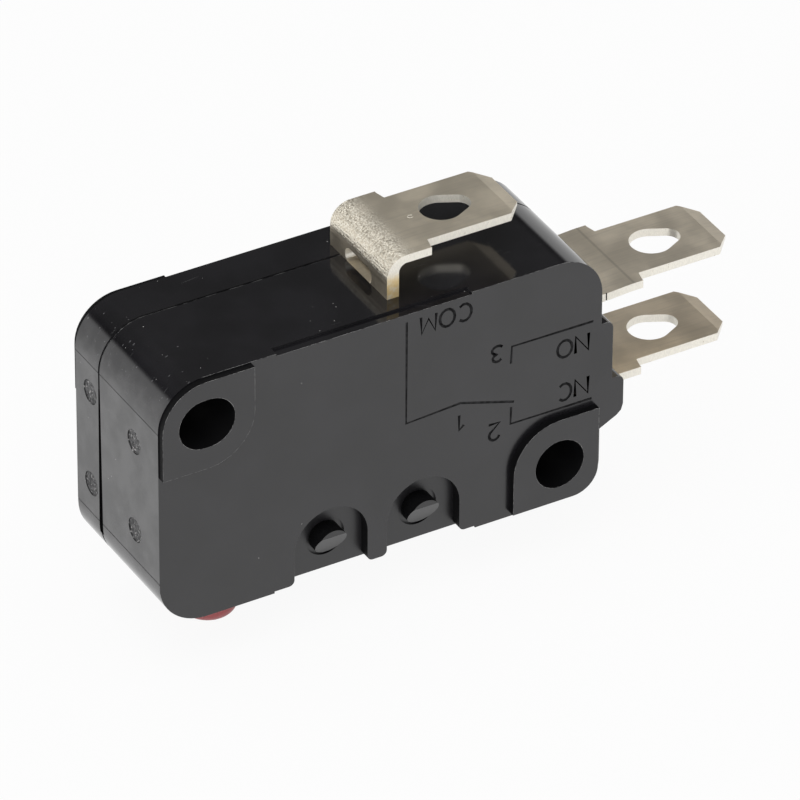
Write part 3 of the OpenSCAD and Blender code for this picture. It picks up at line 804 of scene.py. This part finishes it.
def moulded_black(name, tint):
    """The polished skin of the moulding, with all that has rubbed it or settled on it."""
    material, tree, shader, here = blank_material(name)
    grain = use_group(tree, grain_group, Vector=here)
    upward = facing_up(tree, 0.2, 0.6)
    flat, pocket, end, ramp = side_masks(tree, here)
    joint, corner = top_scuffs_and_joint_highlight(tree, here, upward)
    share = sums(tree, "MULTIPLY_ADD", corner, 0.55, sums(tree, "MULTIPLY_ADD", upward, 0.13, 0.012))
    dust = use_group(tree, dust_group, Vector=here, Scale=2.6, Share=share, Radius=0.1)["Mask"]
    slanted = stretch(tree, here, (2.2, 6.0, 4.0), (0, 0, 0.4))
    flecks = use_group(tree, dust_group, Vector=slanted, Scale=1.0, Share=times(tree, corner, 0.35),
                       Radius=0.28)["Mask"]
    # The end faces are painted lighter in cloudy patches, as painted light on the ends.
    end_light_patches = times(tree, end, fade(tree, noise(tree, here, 0.7, 5.0), 0.35, 0.7))
    clarity = sums(tree, "MULTIPLY_ADD", upward, 0.3, 0.04)
    scratch = times(tree, scratches(tree, here, SKIN_SCRATCHES), clarity)
    # The rubbed crests of the rims are painted lighter: partly wear, partly a painted highlight.
    rubbed_and_highlit = rubbed_and_highlit_edges(tree, here)
    colour = blend_colour(tree, grain["Drift"], shade(tint, 0.75), shade(tint, 1.3))
    for mask, over in ((end_light_patches, END_PAINTED_LIGHT), (rubbed_and_highlit, RUBBED_AND_HIGHLIT), (times(tree, flecks, 0.6), SCUFFED),
                       (times(tree, joint, 0.7), JOINT_SCUFF_AND_HIGHLIGHT), (scratch, SCRATCHED),
                       (times(tree, dust, 0.8), DUST)):
        colour = blend_colour(tree, mask, colour, over)
    feed(tree, shader.inputs["Base Color"], colour)
    rough = sums(tree, "MULTIPLY_ADD", grain["Drift"], 0.03, 0.06)
    for mask, more in ((grain["Fine"], 0.03), (scratch, 0.4), (flat, 0.15), (pocket, 0.1), (ramp, 0.3),
                       (sums(tree, "MAXIMUM", rubbed_and_highlit, joint), 0.35), (dust, 0.5)):
        rough = sums(tree, "MULTIPLY_ADD", mask, more, rough)
    feed(tree, shader.inputs["Roughness"], rough)
    relief(tree, shader, grain["Fine"], strength=0.05, distance=0.00002)
    shader.inputs["IOR"].default_value = HARD_PLASTIC_IOR
    return material


def eroded_black(name):
    """Steep walls and cut marks, left as the mould was eroded: rough, without a mirror."""
    material, tree, shader, here = blank_material(name)
    grain = use_group(tree, grain_group, Vector=here)
    dust = use_group(tree, dust_group, Vector=here, Scale=2.2, Share=0.02, Radius=0.1)["Mask"]
    colour = blend_colour(tree, grain["Fine"], WALL_DARK, WALL_LIGHT)
    colour = blend_colour(tree, times(tree, dust, 0.7), colour, WALL_DUST)
    feed(tree, shader.inputs["Base Color"], colour)
    feed(tree, shader.inputs["Roughness"], fade(tree, grain["Fine"], 0.3, 0.7, 0.42, 0.6))
    relief(tree, shader, grain["Fine"], strength=0.3, distance=0.00003)
    shader.inputs["Specular IOR Level"].default_value = 0.06
    return material


def ejector_black(name):
    """The coarse floor of an ejector mark, dull, with pale flecks: partly stress whitening, partly painted
    glints.
    """
    material, tree, shader, here = blank_material(name)
    lumps = noise(tree, here, 4.5, 4.0)
    # Pale flecks on the floor: partly stress whitening, partly painted glints.
    flecks = fade(tree, noise(tree, here, 6.5, 2.0), 0.57, 0.68)
    colour = blend_colour(tree, fade(tree, lumps, 0.4, 0.6), LUMP_DARK, LUMP_LIGHT)
    feed(tree, shader.inputs["Base Color"], blend_colour(tree, flecks, colour, STRESS_WHITE_AND_GLINT))
    feed(tree, shader.inputs["Roughness"], fade(tree, lumps, 0.3, 0.7, 0.5, 0.3))
    relief(tree, shader, lumps, strength=0.9, distance=0.00015)
    shader.inputs["Specular IOR Level"].default_value = 0.3
    return material


def sign_black(name):
    """The floor of the cut sign: a dull, uneven black, a little lighter than the walls."""
    material, tree, shader, here = blank_material(name)
    lumps = fade(tree, noise(tree, here, 5.0, 3.0), 0.35, 0.65)
    colour = blend_colour(tree, lumps, SIGN_DARK, SIGN_LIGHT)
    feed(tree, shader.inputs["Base Color"], colour)
    feed(tree, shader.inputs["Roughness"], fade(tree, lumps, 0.0, 1.0, 0.55, 0.4))
    relief(tree, shader, lumps, strength=0.4, distance=0.00003)
    shader.inputs["Specular IOR Level"].default_value = 0.18
    return material


black_wall = eroded_black("eroded_black")
black_ejector = ejector_black("ejector_black")
black_sign = sign_black("sign_black")
for node, tint in SKIN_TINTS.items():
    mesh = pieces[node].data
    for finish in (moulded_black("moulded_black_" + node, tint), black_wall, black_ejector, black_sign):
        mesh.materials.append(finish)
print("moulding finished")

# %% [markdown]
# ## Plated strip
#
# The terminals are stamped from rolled brass strip with a dull, warm grey plating. Rolling leaves faint
# lines along the strip, the outside of a bend turns to a fine orange peel with its grains painted as bright
# glints, and pressing leaves drawing lines on the leg just under the bend. The sheared edges are brighter
# than the rolled faces.

# %% Plated strip
BEND_X = 1.14 + MID.x
BEND_Z = 9.25 + MID.z
METAL_DUST = (0.2, 0.18, 0.16, 1)
# Painted glints: the bright grains on the outside of the common bend.
BEND_GLINT_GRAIN = (1.0, 0.94, 0.8, 1)
SHEARED = (0.98, 0.94, 0.84)
PIT = (0.42, 0.34, 0.24, 1)
BARE_BRASS = (0.86, 0.66, 0.33, 1)
STRIP_SCRATCHES = ((0.2, 0.015), (1.2, 0.01))


def bend_mask(tree, here):
    """The outside of the common terminal's bend, and the place along each axis."""
    place = put(tree, "ShaderNodeSeparateXYZ", Vector=here).outputs
    near = fade(tree, place[0], BEND_X + 2.3, BEND_X + 0.7)
    high = fade(tree, place[2], BEND_Z - 0.2, BEND_Z + 0.15)
    return times(tree, near, high), place


def rolled_strip(name, tint, roughness, bent=False, crease_shade_at=None):
    """A rolled face; bent paints bright glints on the peel of the common bend, and crease_shade_at places a
    painted shade line across.
    """
    material, tree, shader, here = blank_material(name)
    cloud = noise(tree, here, 0.5, 3.0)
    lines = noise(tree, stretch(tree, here, (0.25, 7.0, 7.0)), 1.0, 3.0)
    fine = noise(tree, here, 16.0, 2.0)
    dust = use_group(tree, dust_group, Vector=here, Scale=1.3, Share=0.05, Radius=0.08)["Mask"]
    scratch = scratches(tree, here, STRIP_SCRATCHES)
    colour = blend_colour(tree, fade(tree, cloud, 0.3, 0.7), shade(tint, 0.88), shade(tint, 1.06))
    colour = blend_colour(tree, times(tree, fade(tree, lines, 0.45, 0.7), 0.18), colour, shade(tint, 0.6))
    colour = blend_colour(tree, times(tree, dust, 0.5), colour, METAL_DUST)
    # Painted shade: a dark line across the strip where it is creased.
    if crease_shade_at is not None:
        along = put(tree, "ShaderNodeSeparateXYZ", Vector=here).outputs[0]
        off = sums(tree, "ABSOLUTE", sums(tree, "SUBTRACT", along, crease_shade_at))
        line = fade(tree, off, 0.12, 0.02, 0.0, 0.3)
        colour = blend_colour(tree, line, colour, shade(tint, 0.3))
    rough = fade(tree, cloud, 0.3, 0.7, roughness - 0.03, roughness + 0.03)
    rough = sums(tree, "MULTIPLY_ADD", scratch, -0.08, rough)
    height = sums(tree, "MULTIPLY_ADD", lines, 0.5, times(tree, fine, 0.25))
    level = put(tree, "ShaderNodeBump", Height=height, Strength=0.12, Distance=0.00003).outputs[0]
    metallic = 1.0
    if bent:
        mask, place = bend_mask(tree, here)
        grains = noise(tree, here, 9.0, 2.0)
        # The grains on the outside of the bend are painted bright as glints, and made less metallic.
        bright = times(tree, fade(tree, grains, 0.34, 0.66), mask)
        colour = blend_colour(tree, bright, colour, BEND_GLINT_GRAIN)
        metallic = sums(tree, "MULTIPLY_ADD", bright, -0.55, 1.0)
        drawn = noise(tree, stretch(tree, here, (9.0, 0.15, 9.0)), 1.0, 2.0)
        leg = times(tree, fade(tree, place[0], BEND_X + 0.5, BEND_X + 0.3),
                    fade(tree, place[2], BEND_Z - 0.55, BEND_Z - 0.25))
        peel = sums(tree, "MULTIPLY_ADD", times(tree, drawn, leg), 0.8, times(tree, grains, mask))
        level = put(tree, "ShaderNodeBump", Height=peel, Strength=1.0, Distance=0.00006,
                    Normal=level).outputs[0]
        rough = sums(tree, "MULTIPLY_ADD", mask, -0.13, rough)
        low = fade(tree, place[2], BEND_Z - 0.1, BEND_Z - 0.5)
        rough = sums(tree, "MULTIPLY_ADD", low, 0.02, rough)
    feed(tree, shader.inputs["Base Color"], colour)
    feed(tree, shader.inputs["Roughness"], rough)
    feed(tree, shader.inputs["Metallic"], metallic)
    feed(tree, shader.inputs["Normal"], level)
    return material


def sheared_edge(name, gilt=False):
    """A cut edge: bright, with fine tears and a few dark pits; brass shows low on the common leg."""
    material, tree, shader, here = blank_material(name)
    tears = noise(tree, stretch(tree, here, (15.0, 15.0, 6.0)), 1.0, 3.0)
    pits = fade(tree, noise(tree, here, 5.0, 3.0), 0.66, 0.72)
    colour = blend_colour(tree, fade(tree, tears, 0.35, 0.7), shade(SHEARED, 0.9), shade(SHEARED, 1.0))
    colour = blend_colour(tree, times(tree, pits, 0.5), colour, PIT)
    if gilt:
        place = put(tree, "ShaderNodeSeparateXYZ", Vector=here).outputs
        bare = fade(tree, place[2], BEND_Z + 0.5, BEND_Z - 0.4)
        bare = times(tree, bare, fade(tree, place[1], -2.4, -2.8))
        bare = times(tree, bare, fade(tree, noise(tree, here, 2.5, 3.0), 0.3, 0.6, 0.4, 1.0))
        colour = blend_colour(tree, bare, colour, BARE_BRASS)
    feed(tree, shader.inputs["Base Color"], colour)
    feed(tree, shader.inputs["Roughness"], fade(tree, tears, 0.3, 0.7, 0.28, 0.4))
    relief(tree, shader, tears, strength=0.25, distance=0.00003)
    shader.inputs["Metallic"].default_value = 0.5
    return material


# The last column is where a painted shade line crosses the strip, or None.
STRIPS = {"com_terminal": ((0.79, 0.71, 0.57), 0.42, True, None),
          "no_terminal": ((0.83, 0.745, 0.605), 0.41, False, 16.92 + MID.x),
          "nc_terminal": ((0.82, 0.71, 0.55), 0.41, False, None)}
for node, (tint, roughness, bent, crease_shade_at) in STRIPS.items():
    mesh = pieces[node].data
    cut_metal = sheared_edge("sheared_" + node, bent)
    # The third finish of a strip is the dull black of the moulding's walls, laid in the nick as painted
    # shade.
    for finish in (rolled_strip("plated_" + node, tint, roughness, bent, crease_shade_at), cut_metal, black_wall):
        mesh.materials.append(finish)
print("strips finished")

# %% [markdown]
# ## Springs and contacts
#
# Inside, the contact blade and the bow spring are rolled copper alloy, and the contacts are silver rivets.
# They use the same rolled finish with their own colour. The pin flattens the bow spring towards its two
# upper ends as it is pressed; here the spring only gets a mesh of its own.

# %% Springs and contacts
COPPER = (0.74, 0.46, 0.28)
SILVER = (0.86, 0.85, 0.82)
spring_metal = rolled_strip("spring_strip", COPPER, roughness=0.32)
contact_metal = rolled_strip("contact_silver", SILVER, roughness=0.3)
for node in ("contact_blade", "bow_spring"):
    pieces[node].data.materials.append(spring_metal)
for node in ("moving_contact", "no_contact", "nc_contact"):
    pieces[node].data.materials.append(contact_metal)
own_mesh(pieces["bow_spring"])
print("inner pieces finished")

# %% [markdown]
# ## Red pin
#
# The pin is a satin red moulding. A little light goes into it, so its colour is soft, and its tip is rubbed
# where a lever or cam runs on it.

# %% Red pin
RED_DARK = (0.40, 0.085, 0.09, 1)
RED_LIGHT = (0.47, 0.11, 0.115, 1)
RED_RUBBED = (0.6, 0.25, 0.25, 1)
RED_DUST = (0.6, 0.5, 0.48, 1)


def red_pin(name):
    """Satin red, a little uneven, with paler rubbed edges and some dust."""
    material, tree, shader, here = blank_material(name)
    grain = use_group(tree, grain_group, Vector=here)
    dust = use_group(tree, dust_group, Vector=here, Scale=2.0, Share=0.06, Radius=0.1)["Mask"]
    colour = blend_colour(tree, grain["Drift"], RED_DARK, RED_LIGHT)
    rubbed_and_highlit = rubbed_and_highlit_edges(tree, here)
    colour = blend_colour(tree, times(tree, rubbed_and_highlit, 0.4), colour, RED_RUBBED)
    colour = blend_colour(tree, times(tree, dust, 0.5), colour, RED_DUST)
    feed(tree, shader.inputs["Base Color"], colour)
    feed(tree, shader.inputs["Roughness"], fade(tree, grain["Fine"], 0.3, 0.7, 0.34, 0.46))
    relief(tree, shader, grain["Fine"], strength=0.1, distance=0.00002)
    return material


pieces["plunger"].data.materials.append(red_pin("red_pin"))
print("pin finished")

# %% [markdown]
# ## Table
#
# The table is a plain white sheet. Seen by the camera or in a reflection it is white paper, and a share of
# its own shading stays, so that the switch keeps its soft shadow.

# %% Table
SHADOW_SHARE = 0.07
FLOOR_GAP = 0.0001
FLOOR_HALF = 3.0
PAPER = (0.85, 0.85, 0.85, 1)
WHITE = (1, 1, 1, 1)
floor_z = cad_low.z - FLOOR_GAP
bm = bmesh.new()
bmesh.ops.create_grid(bm, x_segments=1, y_segments=1, size=FLOOR_HALF)
bmesh.ops.translate(bm, vec=(0, 0, floor_z), verts=bm.verts)
floor_mesh = bpy.data.meshes.new("table")
bm.to_mesh(floor_mesh)
bm.free()
floor = bpy.data.objects.new("table", floor_mesh)
bpy.context.scene.collection.objects.link(floor)
floor_material = bpy.data.materials.new("white_table")
floor_material.use_nodes = True
tree = floor_material.node_tree
tree.nodes.clear()
output = tree.nodes.new("ShaderNodeOutputMaterial")
paper = put(tree, "ShaderNodeBsdfDiffuse", Color=PAPER)
glow = put(tree, "ShaderNodeEmission", Color=WHITE, Strength=1.0)
rays = tree.nodes.new("ShaderNodeLightPath")
seen = sums(tree, "MAXIMUM", rays.outputs["Is Camera Ray"], rays.outputs["Is Glossy Ray"])
seen = sums(tree, "MAXIMUM", seen, rays.outputs["Is Transmission Ray"])
mix = tree.nodes.new("ShaderNodeMixShader")
feed(tree, mix.inputs[0], times(tree, seen, 1 - SHADOW_SHARE))
tree.links.new(paper.outputs[0], mix.inputs[1])
tree.links.new(glow.outputs[0], mix.inputs[2])
tree.links.new(mix.outputs[0], output.inputs[0])
floor_mesh.materials.append(floor_material)
print("table at", round(floor_z * 1000, 2), "mm")

# %% [markdown]
# ## Room
#
# Behind the table a white sweep rises to about twenty degrees. Above it the studio is dark, up to a pale
# ceiling. The rounded corner of the body shows the edge of that sweep as a soft line, so the room needs
# the same edge. Heights are sines of the angle above the table.

# %% Room
SWEEP_TOP = 0.36
SWEEP_EDGE = 0.06
DARK_LEVEL = 0.05
HAZE_TOP, HAZE_LEVEL = 0.6, 0.07
CEILING_FROM, CEILING_FULL, CEILING_LEVEL = 0.66, 0.92, 0.6
world = bpy.data.worlds.new("studio")
bpy.context.scene.world = world
world.use_nodes = True
tree = world.node_tree
tree.nodes.clear()
output = tree.nodes.new("ShaderNodeOutputWorld")
rays = tree.nodes.new("ShaderNodeLightPath")
ways = tree.nodes.new("ShaderNodeTexCoord")
rise = put(tree, "ShaderNodeSeparateXYZ", Vector=ways.outputs["Generated"]).outputs[2]
sweep = fade(tree, rise, SWEEP_TOP - SWEEP_EDGE, SWEEP_TOP + SWEEP_EDGE, 1.0, DARK_LEVEL)
haze = fade(tree, rise, SWEEP_TOP + SWEEP_EDGE, HAZE_TOP, 0.0, HAZE_LEVEL)
ceiling = fade(tree, rise, CEILING_FROM, CEILING_FULL, 0.0, CEILING_LEVEL)
level = sums(tree, "ADD", sums(tree, "ADD", sweep, haze), ceiling)
room = put(tree, "ShaderNodeBackground", Color=WHITE, Strength=level)
page = put(tree, "ShaderNodeBackground", Color=WHITE, Strength=1.0)
mix = tree.nodes.new("ShaderNodeMixShader")
tree.links.new(rays.outputs["Is Camera Ray"], mix.inputs[0])
tree.links.new(room.outputs[0], mix.inputs[1])
tree.links.new(page.outputs[0], mix.inputs[2])
tree.links.new(mix.outputs[0], output.inputs[0])
print("sweep up to", round(math.degrees(math.asin(SWEEP_TOP)), 1), "degrees")

# %% [markdown]
# ## Lamps
#
# One large soft lamp hangs over the switch, for the rough metal. A second one stands high at the front
# left: it lights the rough cut edges and the insides of the holes. Both are wide, so that where a polished
# face mirrors them they look no brighter than white card.

# %% Lamps
LAMP_SIZE = 1.1
LAMPS = {"overhead": ((-0.25, -0.15, 0.9), 3.7), "front": ((-0.55, -0.6, 0.55), 3.3)}


def soft_lamp(name, place, target, watts):
    """A wide square lamp that looks at the target."""
    data = bpy.data.lights.new(name, "AREA")
    data.shape = "SQUARE"
    data.size = LAMP_SIZE
    data.energy = watts
    lamp = bpy.data.objects.new(name, data)
    bpy.context.scene.collection.objects.link(lamp)
    lamp.location = place
    lamp.rotation_euler = (Vector(target) - Vector(place)).to_track_quat("-Z", "Y").to_euler()
    print(name, watts, "W")


for name, (place, watts) in LAMPS.items():
    soft_lamp(name, place, (cad_low + cad_high) / 2, watts)

# %% [markdown]
# ## Settle the picture
#
# The standard view keeps colours as they are written.

# %% Settle the picture
bpy.context.scene.view_settings.view_transform = "Standard"
